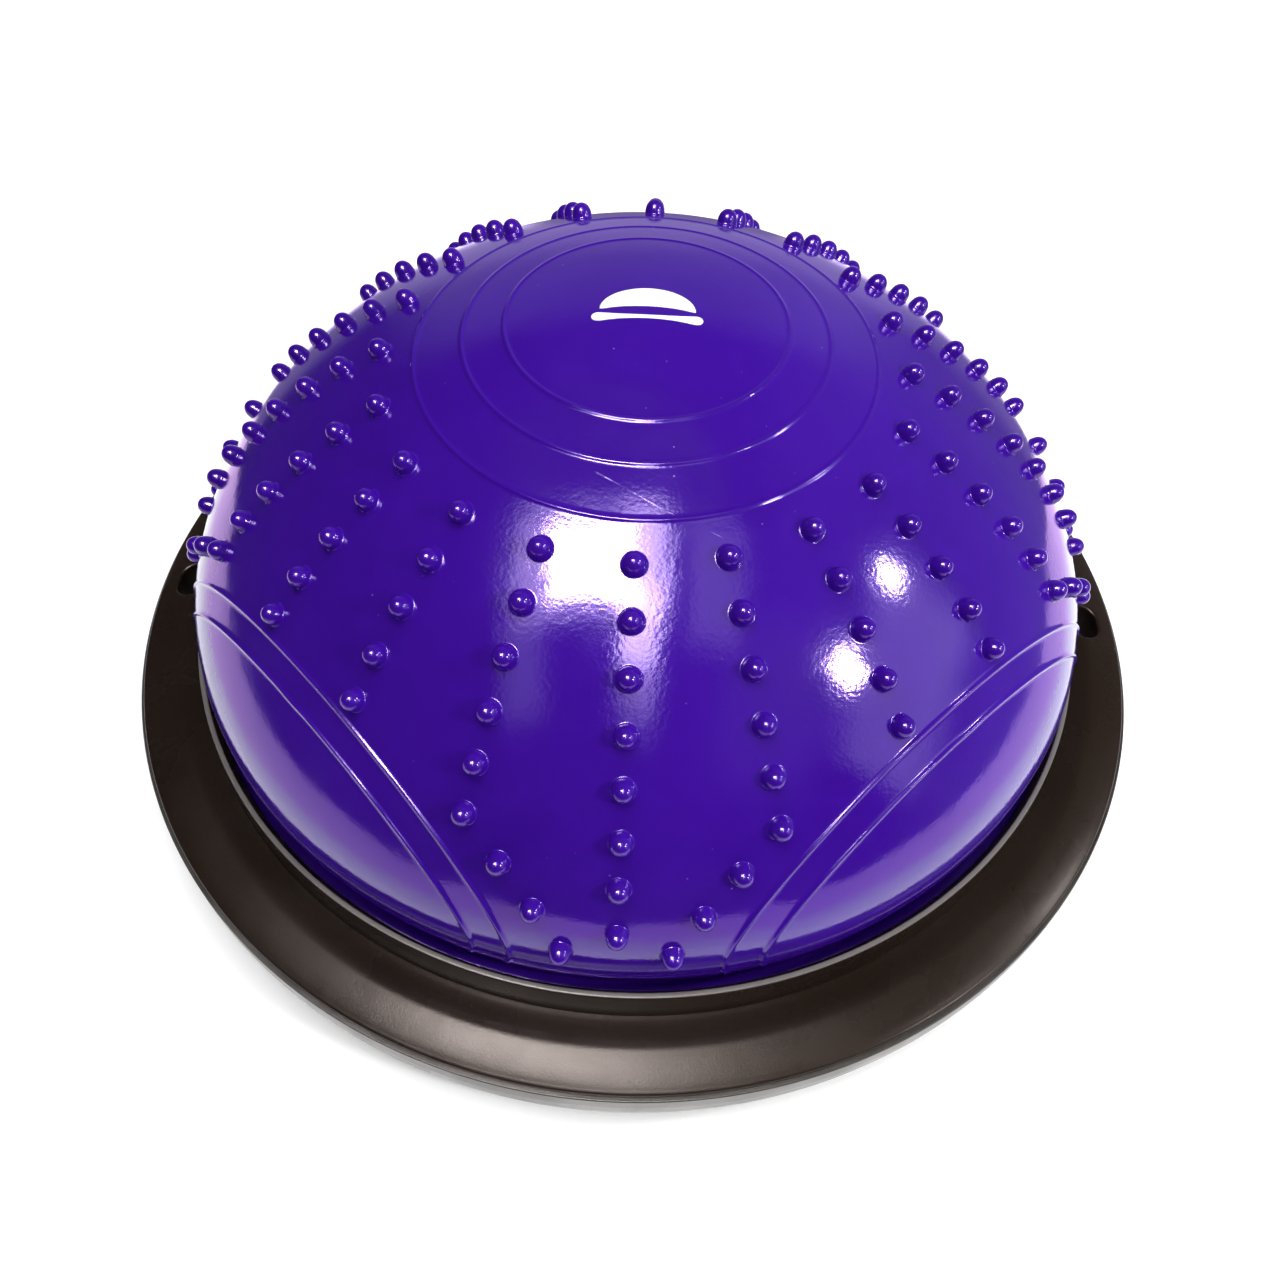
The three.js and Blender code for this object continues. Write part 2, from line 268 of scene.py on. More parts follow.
# ============================================================================= dome surface
def make_profile():
    """The wall's meridian as a function of arc length from the crown: r, z, slope angle. The slope is smoothed so that reflections run without a kink."""
    psi = np.linspace(0, math.pi / 2, 6000)
    r = DOME_R * np.sin(psi) ** (2 / DOME_N)
    z = DOME_R_Z + DOME_H * np.clip(np.cos(psi), 0, 1) ** (2 / DOME_M)
    low = np.linspace(DOME_R_Z, SKIN_END_Z, 800)[1:]
    r = np.r_[r, DOME_R * np.sqrt(1 - ((DOME_R_Z - low) / DOME_TUCK) ** 2)]
    z = np.r_[z, low]
    s = np.r_[0, np.cumsum(np.hypot(np.diff(r), np.diff(z)))]
    step = 0.25
    si = np.arange(0, s[-1], step)
    ri, zi = np.interp(si, s, r), np.interp(si, s, z)
    slope = np.unwrap(np.arctan2(-np.gradient(zi, step), np.gradient(ri, step)))
    slope[0] = 0
    pad = 160
    tail = slope[-1] + (slope[-1] - slope[-41]) / 40 * np.arange(1, pad + 1)
    ext = np.r_[-slope[pad:0:-1], slope, tail]
    k = np.arange(-pad, pad + 1) * step
    w = np.exp(-0.5 * (k / 9.0) ** 2)
    smooth = np.convolve(ext, w / w.sum(), mode="same")[pad:-pad]
    rr = np.r_[0, np.cumsum((np.cos(smooth[1:]) + np.cos(smooth[:-1])) / 2 * step)]
    zz = CROWN_Z - np.r_[
        0, np.cumsum((np.sin(smooth[1:]) + np.sin(smooth[:-1])) / 2 * step)
    ]
    rr *= DOME_R / rr.max()
    zz = CROWN_Z - (CROWN_Z - zz) * (CROWN_Z - SKIN_END_Z) / (CROWN_Z - zz[-1])
    return si, rr, zz, smooth, np.interp(si, s, r)


S, PR, PZ, PHI, _ = make_profile()
S_END = float(S[-1])


def s_of_psi(deg):
    """Arc length of a profile angle, by its height above the widest ring."""
    z = DOME_R_Z + DOME_H * math.cos(math.radians(deg)) ** (2 / DOME_M)
    return float(np.interp(-z, -PZ, S))


def wave(p, s):
    """Slight unevenness of the inflated wall, in mm; p in mm."""
    fade = np.clip((S_END - s) / 25.0, 0, 1)
    v = Vector((p[0], p[1], p[2]))
    return fade * (
        0.30 * noise.noise(v / 74.0 + Vector((3.1, 1.7, 5.2)))
        + 0.06 * noise.noise(v / 21.0 + Vector((9.4, 2.2, 0.3)))
    )


def wall_point(s, a, h=0.0):
    """Point of the wall at arc length s and azimuth a (radians, from -Y), h mm out along the normal."""
    s = min(max(s, 0.0), S_END)
    r, z, phi = np.interp(s, S, PR), np.interp(s, S, PZ), np.interp(s, S, PHI)
    sa, ca = math.sin(a), math.cos(a)
    h = h + wave((r * sa, -r * ca, z), s)
    rr = r + h * math.sin(phi)
    return (rr * sa, -rr * ca, z + h * math.cos(phi))


def wall_normal(s, a):
    phi = float(np.interp(s, S, PHI))
    return np.array(
        (math.sin(phi) * math.sin(a), -math.sin(phi) * math.cos(a), math.cos(phi))
    )


def nub_places():
    places = []
    for q in range(4):
        middle = q * 90.0
        for row, psi in enumerate(NUB_ROWS):
            places.append((psi, middle))
            for side in (1, -1):
                if row < 6:
                    places.append((psi, middle + side * 18))
                if row < 5:
                    places.append((psi, middle + side * 36))
        for psi, off in BEND:
            places += [(psi, middle + off), (psi, middle - off)]
    return places


def nub_profile():
    """(flat radius in the plan, true radius, height) from the foot of the fillet to just before the tip."""
    rows = [(7.3, 6.45, 0.0), (NUB_FOOT, 6.05, 0.0), (6.72, 5.72, 0.06), (6.4, 5.50, 0.26)]
    rows.append((6.0, 5.40, 0.80))
    for plan, t in (
        (5.6, 0.20),
        (5.1, 0.36),
        (4.5, 0.53),
        (3.9, 0.68),
        (3.2, 0.80),
        (2.5, 0.89),
        (1.7, 0.955),
        (0.9, 0.989),
    ):
        rows.append((plan, NUB_R * math.sqrt(1 - t**2.5), NUB_H * t))
    return rows


def build_dome():
    plan, points, edges = [], [], []

    def add(s, a, h, s_true=None, a_true=None, lift=None):
        plan.append((s * math.sin(a), -s * math.cos(a)))
        if lift is None:
            points.append(wall_point(s, a, h))
        else:
            p = np.array(wall_point(s_true, a_true)) + lift * h
            points.append(tuple(p))
        return len(points) - 1

    keep_off = []  # (point, distance) that plain wall points stay away from

    # nubs: concentric loops from the fillet's foot to the tip
    sides = 22
    rows = nub_profile()
    for psi, deg in nub_places():
        s0, a0 = s_of_psi(psi), math.radians(deg)
        r0 = float(np.interp(s0, S, PR))
        n0 = wall_normal(s0, a0)
        for k, (flat, true, h) in enumerate(rows):
            loop = []
            for j in range(sides):
                t = 2 * math.pi * (j + 0.5 * (k % 2)) / sides
                loop.append(
                    add(
                        s0 + flat * math.cos(t),
                        a0 + flat * math.sin(t) / r0,
                        h,
                        s0 + true * math.cos(t),
                        a0 + true * math.sin(t) / r0,
                        n0,
                    )
                )
            edges += [(loop[j], loop[(j + 1) % sides]) for j in range(sides)]
        add(s0, a0, NUB_H, s0, a0, n0)
        keep_off.append((wall_point(s0, a0), NUB_FOOT + 2.6))

    # crown rings: low rounded beads
    ring_shape = [
        (-2.7, 0.0),
        (-1.7, 0.015),
        (-1.1, 0.14),
        (-0.65, 0.40),
        (-0.25, 0.56),
        (0.25, 0.56),
        (0.65, 0.40),
        (1.1, 0.14),
        (1.7, 0.015),
        (2.7, 0.0),
    ]
    for psi in CROWN_RINGS:
        s0 = s_of_psi(psi)
        r0 = float(np.interp(s0, S, PR))
        n = int(round(2 * math.pi * r0 / 2.7))
        for off, h in ring_shape:
            loop = [add(s0 + off, 2 * math.pi * j / n, h) for j in range(n)]
            edges += [(loop[j], loop[(j + 1) % n]) for j in range(n)]
        keep_off += [(wall_point(s0, 2 * math.pi * j / n), 4.6) for j in range(n)]

    # side panels: two moulded ridges, each the cut of an upright plane with the wall
    ridge_shape = [
        (-2.9, 0.0),
        (-1.9, 0.02),
        (-1.3, 0.17),
        (-0.8, 0.50),
        (-0.35, 0.86),
        (0.0, 0.96),
        (0.35, 0.86),
        (0.8, 0.50),
        (1.3, 0.17),
        (1.9, 0.02),
        (2.9, 0.0),
    ]
    s_stop = float(np.interp(-57.0, -PZ, S))
    for q in range(4):
        beta = math.radians(45 + 90 * q)
        for flat0, lean in ((202.5, 0.027), (211.2, 0.039)):
            dist = flat0 + lean * (PZ - 20.0)
            ok = (PR >= dist) & (S <= s_stop)
            ss, cc = S[ok], np.clip(dist[ok] / PR[ok], -1, 1)
            al = np.arccos(cc)
            s_line = np.r_[ss[::-1], ss[1:]]
            a_line = np.r_[-al[::-1], al[1:]]
            xyz = np.array(
                [wall_point(s, beta + a) for s, a in zip(s_line, a_line)]
            )
            length = np.r_[0, np.cumsum(np.linalg.norm(np.diff(xyz, axis=0), axis=1))]
            n = int(length[-1] / 2.7)
            at = np.linspace(0, length[-1], n + 1)
            s_at, a_at = np.interp(at, length, s_line), np.interp(at, length, a_line)
            # the apex of the curve is where the two halves meet; both are smooth there in space
            centre = np.c_[
                np.interp(at, length, xyz[:, 0]),
                np.interp(at, length, xyz[:, 1]),
                np.interp(at, length, xyz[:, 2]),
            ]
            tangent = np.gradient(centre, axis=0)
            rows_ids = []
            for off, h in ridge_shape:
                row = []
                for k in range(n + 1):
                    s, a = float(s_at[k]), beta + float(a_at[k])
                    nrm = wall_normal(s, a)
                    side = np.cross(nrm, tangent[k])
                    side /= np.linalg.norm(side)
                    phi = float(np.interp(s, S, PHI))
                    es = np.array(
                        (
                            math.cos(phi) * math.sin(a),
                            -math.cos(phi) * math.cos(a),
                            -math.sin(phi),
                        )
                    )
                    ea = np.array((math.cos(a), math.sin(a), 0.0))
                    r = float(np.interp(s, S, PR))
                    z = float(np.interp(s, S, PZ))
                    fade = min(1.0, max(0.0, (z - 58.0) / 8.0))
                    row.append(
                        add(
                            s + off * float(side @ es),
                            a + off * float(side @ ea) / r,
                            h * fade,
                        )
                    )
                edges += [(row[k], row[k + 1]) for k in range(n)]
                rows_ids.append(row)
            keep_off += [(tuple(c), 4.8) for c in centre]

    # plain wall between them
    tree = kdtree.KDTree(len(keep_off))
    for i, (c, _) in enumerate(keep_off):
        tree.insert(c, i)
    tree.balance()
    reach = max(d for _, d in keep_off)
    around = 288
    gap = 5.4
    levels = int((S_END - 4.0) / gap)
    add(0.0, 0.0, 0.0)
    for k in range(1, levels + 1):
        s = k * (S_END - 4.5) / levels
        r = float(np.interp(s, S, PR))
        n = max(6, int(round(2 * math.pi * r / gap)))
        for j in range(n):
            a = 2 * math.pi * (j + 0.5 * (k % 2)) / n
            p = wall_point(s, a)
            if any(d < keep_off[i][1] for _, i, d in tree.find_range(p, reach)):
                continue
            add(s, a, 0.0)
    rim = [add(S_END, 2 * math.pi * j / around, 0.0) for j in range(around)]
    edges += [(rim[j], rim[(j + 1) % around]) for j in range(around)]

    out_v, _, out_f, orig, _, _ = delaunay_2d_cdt(
        [Vector(p) for p in plan], edges, [], 0, 1e-5
    )
    verts, back_to = [], {}
    for i, src in enumerate(orig):
        if src:
            verts.append(points[src[0]])
            for k in src:
                back_to[k] = i
        else:  # a crossing that no input point has
            x, y = out_v[i]
            verts.append(wall_point(math.hypot(x, y), math.atan2(x, -y)))
    made_up = sum(1 for src in orig if not src)
    print("dome plan", len(plan), "out", len(out_v), "crossings", made_up)
    faces = [list(f) for f in out_f]
    rim = [back_to[i] for i in rim]

    # clamped bead and the inside of the wall
    lower = [
        (236.9, 47.4),
        (238.6, 45.2),
        (242.5, 44.1),
        (250.0, 44.0),
        (254.6, 44.0),
        (255.7, 43.4),
        (256.0, 42.4),
        (256.0, 40.2),
        (255.7, 39.1),
        (254.6, 38.5),
        (247.0, 38.5),
        (240.0, 38.5),
        (236.6, 39.2),
        (235.8, 41.5),
        (233.8, 50.0),
    ]
    inner_s = np.linspace(S_END - 4, 0, 18)[:-1]
    for s in inner_s:
        r, z, phi = np.interp(s, S, PR), np.interp(s, S, PZ), np.interp(s, S, PHI)
        lower.append((r - WALL * math.sin(phi), z - WALL * math.cos(phi)))
    last = rim
    for r, z in lower:
        row = list(range(len(verts), len(verts) + around))
        for j in range(around):
            a = 2 * math.pi * j / around
            verts.append((r * math.sin(a), -r * math.cos(a), z))
        for j in range(around):
            i = (j + 1) % around
            faces.append([last[j], last[i], row[i], row[j]])
        last = row
    tip = len(verts)
    verts.append((0.0, 0.0, CROWN_Z - WALL))
    for j in range(around):
        faces.append([last[j], last[(j + 1) % around], tip])
    ob = new_object("dome_skin", [(x * MM, y * MM, z * MM) for x, y, z in verts], faces)
    outward(ob)
    finish_normals(ob, True, None)
    return ob


def build_bottom_sheet():
    """Flat bottom of the bladder, clamped under the bead, with the valve's hole."""
    prof = [
        (246.4, 38.35),
        (244.6, 37.8),
        (243.0, 36.0),
        (240.8, 31.4),
        (238.0, 27.0),
        (234.0, 23.2),
        (228.0, 20.8),
        (222.0, 20.3),
        (150.0, 20.3),
        (60.0, 20.3),
        (15.0, 20.3),
        (6.4, 20.3),
        (6.4, 23.3),
        (60.0, 23.3),
        (150.0, 23.3),
        (222.0, 23.3),
        (229.0, 24.6),
        (235.3, 29.6),
        (236.6, 37.0),
        (237.4, 38.35),
    ]
    ob = new_object("dome_bottom_sheet", *lathe(prof, 192))
    outward(ob)
    finish_normals(ob, True, 50)
    return ob


# ====================================================================== generic crown print
def build_print():
    """A plain pictogram of the trainer: a half disc over a bar, as thin ink on the crown."""
    shapes = []
    arc = [
        (22.0 * math.cos(math.pi * k / 36), -2.4 + 15.4 * math.sin(math.pi * k / 36))
        for k in range(37)
    ]
    shapes.append(arc)

    def pill(x0, x1, y0, y1):
        r = (y1 - y0) / 2
        yc = (y0 + y1) / 2
        pts = [
            (x1 - r + r * math.cos(t), yc + r * math.sin(t))
            for t in np.linspace(-math.pi / 2, math.pi / 2, 9)
        ]
        pts += [
            (x0 + r + r * math.cos(t), yc + r * math.sin(t))
            for t in np.linspace(math.pi / 2, 3 * math.pi / 2, 9)
        ]
        return pts

    shapes.append(pill(-25.5, 25.5, -10.8, -5.2))
    verts, faces = [], []
    for outline in shapes:
        n = len(outline)
        pts = [Vector(p) for p in outline]
        lo = Vector((min(p.x for p in pts), min(p.y for p in pts)))
        hi = Vector((max(p.x for p in pts), max(p.y for p in pts)))
        extra = []
        x = lo.x
        while x < hi.x:
            y = lo.y
            while y < hi.y:
                q = Vector((x, y))
                inside = False
                near = 9.0
                for i in range(n):
                    a, b = pts[i], pts[(i + 1) % n]
                    if (a.y > q.y) != (b.y > q.y) and q.x < (b.x - a.x) * (
                        q.y - a.y
                    ) / (b.y - a.y) + a.x:
                        inside = not inside
                    ab = b - a
                    t = max(0, min(1, (q - a).dot(ab) / max(ab.length_squared, 1e-9)))
                    near = min(near, (q - a - ab * t).length)
                if inside and near > 0.8:
                    extra.append(q)
                y += 2.0
            x += 2.0
        ov, _, of, orig, _, _ = delaunay_2d_cdt(
            pts + extra, [(i, (i + 1) % n) for i in range(n)], [], 1, 1e-6
        )
        back_to = {k: i for i, src in enumerate(orig) for k in src}
        rim = [back_to[i] for i in range(n)]
        base = len(verts)
        for lift in (0.11, -0.5):
            for p in ov:
                s, a = math.hypot(p.x, p.y), math.atan2(p.x, -p.y)
                verts.append(wall_point(s, a, lift))
        m = len(ov)
        faces += [[base + i for i in f] for f in of]
        faces += [[base + m + i for i in reversed(f)] for f in of]
        for i in range(n):
            a, b = rim[i], rim[(i + 1) % n]
            faces.append([base + a, base + m + a, base + m + b, base + b])
    ob = new_object(
        "crown_print", [(x * MM, y * MM, z * MM) for x, y, z in verts], faces
    )
    outward_parts(ob)
    finish_normals(ob, True, 40)
    return ob


# ================================================================================== the base
RING_SKIN = [
    (252.55, 45.2),
    (255.0, 45.3),
    (258.5, 45.75),
    (262.0, 46.35),
    (265.3, 46.8),
    (268.3, 46.8),
    (271.5, 46.2),
    (275.0, 45.35),
    (279.5, 44.1),
    (284.0, 42.6),
    (286.2, 41.7),
]


def ring_top(r):
    """Height of the ring's upper skin at radius r."""
    rr = [p[0] for p in RING_SKIN]
    zz = [p[1] for p in RING_SKIN]
    return float(np.interp(r, rr, zz))


def build_ring():
    under = [
        (285.6, PARTING_Z),
        (285.4, 34.4),
        (283.4, 34.4),
        (283.4, 39.2),
        (278.0, 40.8),
        (272.0, 42.0),
        (266.0, 42.6),
        (259.4, 42.6),
        (259.4, 37.2),
        (257.2, 37.2),
        (257.2, SEAT_Z),
        (LIP_R, SEAT_Z),
        (LIP_R, 50.0),
    ]
    lip = [
        (LIP_R, 54.0),
        (LIP_R, 60.6),
        (246.5, 61.3),
        (247.0, 62.2),
        (248.3, 64.3),
        (248.75, 64.95),
        (249.1, 65.28),
        (249.5, LIP_TOP_Z),
        (250.1, 65.42),
        (250.7, LIP_TOP_Z),
        (251.15, 65.25),
        (251.4, 64.9),
        (251.5, 64.3),
        (251.7, 61.5),
        (252.1, 53.0),
        (252.5, 45.35),
    ]
    skin = spline(RING_SKIN, 5)
    tail = [(287.1, 41.4), (287.6, 41.0), (287.85, 40.4), (287.8, 39.4), (287.4, PARTING_Z)]
    profile = lip + skin + tail + under
    ob = new_object("base_ring", *lathe(profile, 360))
    outward(ob)
    adds, cuts = [], []
    boss = lathe(
        [(0, SLOT_SPLIT_Z - 1.7), (5.0, SLOT_SPLIT_Z - 1.7), (5.4, 25.0), (5.5, 43.0), (0, 43.0)],
        24,
    )
    pilot = lathe([(0, 20.0), (2.3, 20.0), (2.3, 40.0), (0, 40.8)], 16)
    for i in range(12):
        a = math.radians(15 + 30 * i)
        x, y = SCREW_R * math.cos(a), SCREW_R * math.sin(a)
        adds.append(moved(boss, x, y))
        cuts.append(moved(pilot, x, y))
    for side in (1, -1):
        cx = side * SLOT_R
        loop = obround(SLOT_L + 2 * SLOT_WALL, SLOT_W + 2 * SLOT_WALL)
        adds.append(
            stack(
                [
                    [((cx + x) * MM, y * MM, z * MM) for x, y in loop]
                    for z in (SLOT_SPLIT_Z + 0.3, 34.0, 43.0)
                ]
            )
        )
        # the cut widens to a soft rounded edge that follows the skin
        levels = []
        for z in (18.0, 30.0, 40.0):
            levels.append(
                [((cx + x) * MM, y * MM, z * MM) for x, y in obround(SLOT_L, SLOT_W)]
            )
        for grow, down in (
            (0.0, 2.6),
            (0.10, 1.7),
            (0.42, 0.9),
            (0.95, 0.38),
            (1.65, 0.08),
            (2.3, -0.04),
            (2.6, -0.6),
        ):
            loop = obround(SLOT_L + 2 * grow, SLOT_W + 2 * grow)
            levels.append(
                [
                    (
                        (cx + x) * MM,
                        y * MM,
                        (ring_top(math.hypot(cx + x, y)) - down) * MM,
                    )
                    for x, y in loop
                ]
            )
        levels.append(
            [((cx + x) * MM, y * MM, 60.0 * MM) for x, y in obround(SLOT_L + 5.4, SLOT_W + 5.4)]
        )
        cuts.append(stack(levels))
    boolean(ob, merged("ring_adds", adds), "UNION")
    boolean(ob, merged("ring_cuts", cuts), "DIFFERENCE")
    finish_normals(ob, True, 34)
    return ob


def build_pan():
    outline = [
        (22.0, 3.0),
        (280.8, 3.0),
        (284.6, 6.4),
        (287.6, 12.5),
        (289.2, 20.5),
        (290.0, 29.0),
        (290.0, 37.5),
        (289.6, 38.0),
        (286.0, 38.0),
        (286.0, 19.0),
        (284.4, 13.5),
        (281.4, 8.8),
        (277.5, 7.0),
        (252.0, 7.0),
        (252.0, 38.2),
        (248.4, 38.2),
        (248.4, 7.0),
        (151.5, 7.0),
        (151.5, 20.0),
        (148.5, 20.0),
        (148.5, 7.0),
        (25.0, 7.0),
        (25.0, 20.0),
        (22.0, 20.0),
    ]
    radii = [0.8, 5.0, 8.0, 14.0, 20.0, 6.0, 0.35, 0.3, 0.5] + [0.3] * 15
    ob = new_object("base_pan", *lathe(rounded(outline, radii, 5), 360))
    outward(ob)
    adds, cuts = [], []
    boss = lathe([(0, 5.0), (6.6, 5.0), (6.0, 9.0), (6.0, 22.0), (0, 22.0)], 24)
    hole = lathe(
        [(0, 1.0), (6.1, 1.0), (5.5, 3.4), (5.1, 3.8), (5.1, 8.0), (2.5, 8.0), (2.5, 24.0), (0, 24.0)],
        24,
    )
    for i in range(12):
        a = math.radians(15 + 30 * i)
        x, y = SCREW_R * math.cos(a), SCREW_R * math.sin(a)
        adds.append(moved(boss, x, y))
        cuts.append(moved(hole, x, y))
    pocket = lathe(
        [(0, 1.0), (16.4, 1.0), (15.9, 3.2), (15.5, 3.6), (15.5, 4.8), (0, 4.8)], 48
    )
    for i in range(8):
        a = math.radians(22.5 + 45 * i)
        cuts.append(
            moved(pocket, PAD_CIRCLE_R * math.cos(a), PAD_CIRCLE_R * math.sin(a))
        )
    for i in range(8):
        a = math.radians(22.5 + 45 * i)
        rib = stack(
            [
                [(x * MM, y * MM, z * MM) for x, y in ((23.5, -w), (232.0, -w), (232.0, w), (23.5, w))]
                for z, w in ((5.5, 1.7), (18.8, 1.5), (20.0, 1.1))
            ]
        )
        adds.append(moved(rib, 0, 0, 0, a))
    for side in (1, -1):
        cx = side * SLOT_R
        loop = obround(SLOT_L + 2 * SLOT_WALL, SLOT_W + 2 * SLOT_WALL)
        adds.append(
            stack(
                [
                    [((cx + x) * MM, y * MM, z * MM) for x, y in loop]
                    for z in (5.0, 12.0, SLOT_SPLIT_Z)
                ]
            )
        )
        levels = []
        for z, grow in ((1.0, 2.2), (3.0, 1.3), (3.4, 0.7), (4.0, 0.2), (5.0, 0.0), (16.0, 0.0), (30.0, 0.0)):
            levels.append(
                [
                    ((cx + x) * MM, y * MM, z * MM)
                    for x, y in obround(SLOT_L + 2 * grow, SLOT_W + 2 * grow)
                ]
            )
        cuts.append(stack(levels))
    boolean(ob, merged("pan_adds", adds), "UNION")
    boolean(ob, merged("pan_cuts", cuts), "DIFFERENCE")
    finish_normals(ob, True, 34)
    return ob


def build_pad_mesh():
    """Rubber foot with three grooves in its sole."""
    sole = [(0, 0.0)]
    for c in (4.0, 7.6, 11.2):
        sole += [
            (c - 0.9, 0.0),
            (c - 0.6, 0.15),
            (c - 0.45, 0.8),
            (c + 0.45, 0.8),
            (c + 0.6, 0.15),
            (c + 0.9, 0.0),
        ]
    sole += [
        (13.4, 0.0),
        (14.2, 0.12),
        (14.75, 0.5),
        (15.0, 1.1),
        (15.0, 2.6),
        (15.0, 4.3),
        (14.8, PAD_T),
        (0, PAD_T),
    ]
    ob = new_object("pad_master", *lathe(sole, 64))
    outward(ob)
    finish_normals(ob, True, 40)
    return ob


def build_screw_mesh():
    body = [
        (0, 5.0),
        (1.8, 5.02),
        (3.0, 5.15),
        (3.9, 5.5),
        (4.35, 6.0),
        (4.5, 6.6),
        (4.5, 7.5),
        (4.35, 7.7),
        (2.1, 7.7),
        (1.85, 8.0),
    ]
    z = 9.0
    while z < 34.0:  # thread crests
        body += [(1.5, z), (1.9, z + 0.5), (1.5, z + 1.0)]
        z += 1.6
    body += [(1.3, 35.0), (0.5, 37.0), (0, 37.5)]
    ob = new_object("screw_master", *lathe(body, 32))
    outward(ob)
    arms = []
    cross = stack(
        [
            [
                (x * MM, y * MM, z * MM)
                for x, y in (
                    (-w, -t),
                    (-t, -t),
                    (-t, -w),
                    (t, -w),
                    (t, -t),
                    (w, -t),
                    (w, t),
                    (t, t),
                    (t, w),
                    (-t, w),
                    (-t, t),
                    (-w, t),
                )
            ]
            for z, w, t in ((4.0, 2.6, 0.62), (5.2, 2.35, 0.55), (6.6, 1.5, 0.4))
        ]
    )
    arms.append(cross)
    boolean(ob, merged("cross", arms), "DIFFERENCE")
    finish_normals(ob, True, 38)
    return ob


def build_insert():
    prof = rounded(
        [
            (3.6, 18.6),
            (6.0, 18.6),
            (6.0, 23.7),
            (14.0, 23.7),
            (14.0, 25.2),
            (6.0, 26.5),
            (6.0, 34.0),
            (3.6, 34.0),
        ],
        [0.5, 0.5, 0.2, 0.4, 0.6, 1.2, 0.6, 0.5],
        4,
    )
    ob = new_object("valve_body", *lathe(prof, 64))
    outward(ob)
    finish_normals(ob, True, 40)
    return ob


def build_plug():
    """Stopper with a finger flange, a dimple and three sealing rings on its stem."""
    prof = [
        (0, 14.7),
        (2.6, 14.65),
        (3.4, 14.3),
        (4.2, 14.2),
        (4.8, 14.35),
        (5.1, 14.8),
        (5.3, 15.3),
        (6.4, 15.6),
        (7.9, 15.8),
        (8.5, 16.2),
        (8.6, 16.8),
        (8.6, 17.7),
        (8.4, 18.15),
        (7.9, 18.3),
        (3.5, 18.3),
        (3.05, 18.7),
    ]
    for z in (20.5, 23.2, 25.9):
        prof += [(2.95, z), (3.25, z + 0.35), (3.3, z + 0.7), (3.2, z + 1.0), (2.95, z + 1.2)]
    prof += [(2.8, 29.2), (2.4, 30.4), (1.6, 30.9), (0, 31.0)]
    ob = new_object("valve_stopper", *lathe(prof, 64))
    outward(ob)
    finish_normals(ob, True, 40)
    return ob


# ================================================================================ materials
class Graph:
    """A small helper for node trees."""

    def __init__(self, tree):
        self.t = tree

    def node(self, kind, inputs=None, **props):
        n = self.t.nodes.new(kind)
        for k, v in props.items():
            setattr(n, k, v)
        for k, v in (inputs or {}).items():
            self.put(n, k, v)
        return n

    def put(self, n, key, value):
        sock = n.inputs[key]
        if isinstance(value, bpy.types.NodeSocket):
            self.t.links.new(value, sock)
        else:
            sock.default_value = value

    def math(self, op, a, b=None, c=None, clamp=False):
        n = self.t.nodes.new("ShaderNodeMath")
        n.operation, n.use_clamp = op, clamp
        for i, v in enumerate((a, b, c)):
            if v is not None:
                self.put(n, i, v)
        return n.outputs[0]

    def vmath(self, op, a, b=None, scale=None):
        n = self.t.nodes.new("ShaderNodeVectorMath")
        n.operation = op
        self.put(n, 0, a)
        if b is not None:
            self.put(n, 1, b)
        if scale is not None:
            self.put(n, 3, scale)
        return n.outputs[1] if op in ("DOT_PRODUCT", "LENGTH", "DISTANCE") else n.outputs[0]

    def noise(self, vec, scale, detail=2.0, rough=0.5, distortion=0.0):
        n = self.node(
            "ShaderNodeTexNoise",
            {
                "Vector": vec,
                "Scale": scale,
                "Detail": detail,
                "Roughness": rough,
                "Distortion": distortion,
            },
        )
        return n.outputs["Fac"]

    def ramp(self, fac, lo, hi, a=0.0, b=1.0, smooth=True):
        n = self.node(
            "ShaderNodeMapRange",
            {"Value": fac, "From Min": lo, "From Max": hi, "To Min": a, "To Max": b},
            interpolation_type="SMOOTHSTEP" if smooth else "LINEAR",
            clamp=True,
        )
        return n.outputs["Result"]

    def mix(self, fac, a, b, blend="MIX"):
        n = self.t.nodes.new("ShaderNodeMix")
        n.data_type, n.blend_type = "RGBA", blend
        self.put(n, 0, fac)
        self.put(n, 6, a)
        self.put(n, 7, b)
        return n.outputs[2]

    def bump(self, height, strength, distance, normal=None):
        n = self.node(
            "ShaderNodeBump",
            {"Height": height, "Strength": strength, "Distance": distance},
        )
        if normal is not None:
            self.put(n, "Normal", normal)
        return n.outputs["Normal"]


def material(name):
    m = bpy.data.materials.new(name)
    m.use_nodes = True
    g = Graph(m.node_tree)
    bsdf = m.node_tree.nodes["Principled BSDF"]
    pos = g.node("ShaderNodeTexCoord").outputs["Object"]
    return m, g, bsdf, pos


def specks(g, pos, scale, size, share):
    """Small round marks: 1 at a mark, 0 elsewhere."""
    v = g.node(
        "ShaderNodeTexVoronoi",
        {"Vector": pos, "Scale": scale, "Randomness": 1.0},
        feature="F1",
    )
    pick = g.node("ShaderNodeSeparateColor", {"Color": v.outputs["Color"]})
    chosen = g.math("LESS_THAN", pick.outputs[0], share)
    reach = g.math("MULTIPLY_ADD", pick.outputs[1], size * 0.8, size * 0.4)
    near = g.math("LESS_THAN", v.outputs["Distance"], reach)
    return g.math("MULTIPLY", chosen, near)


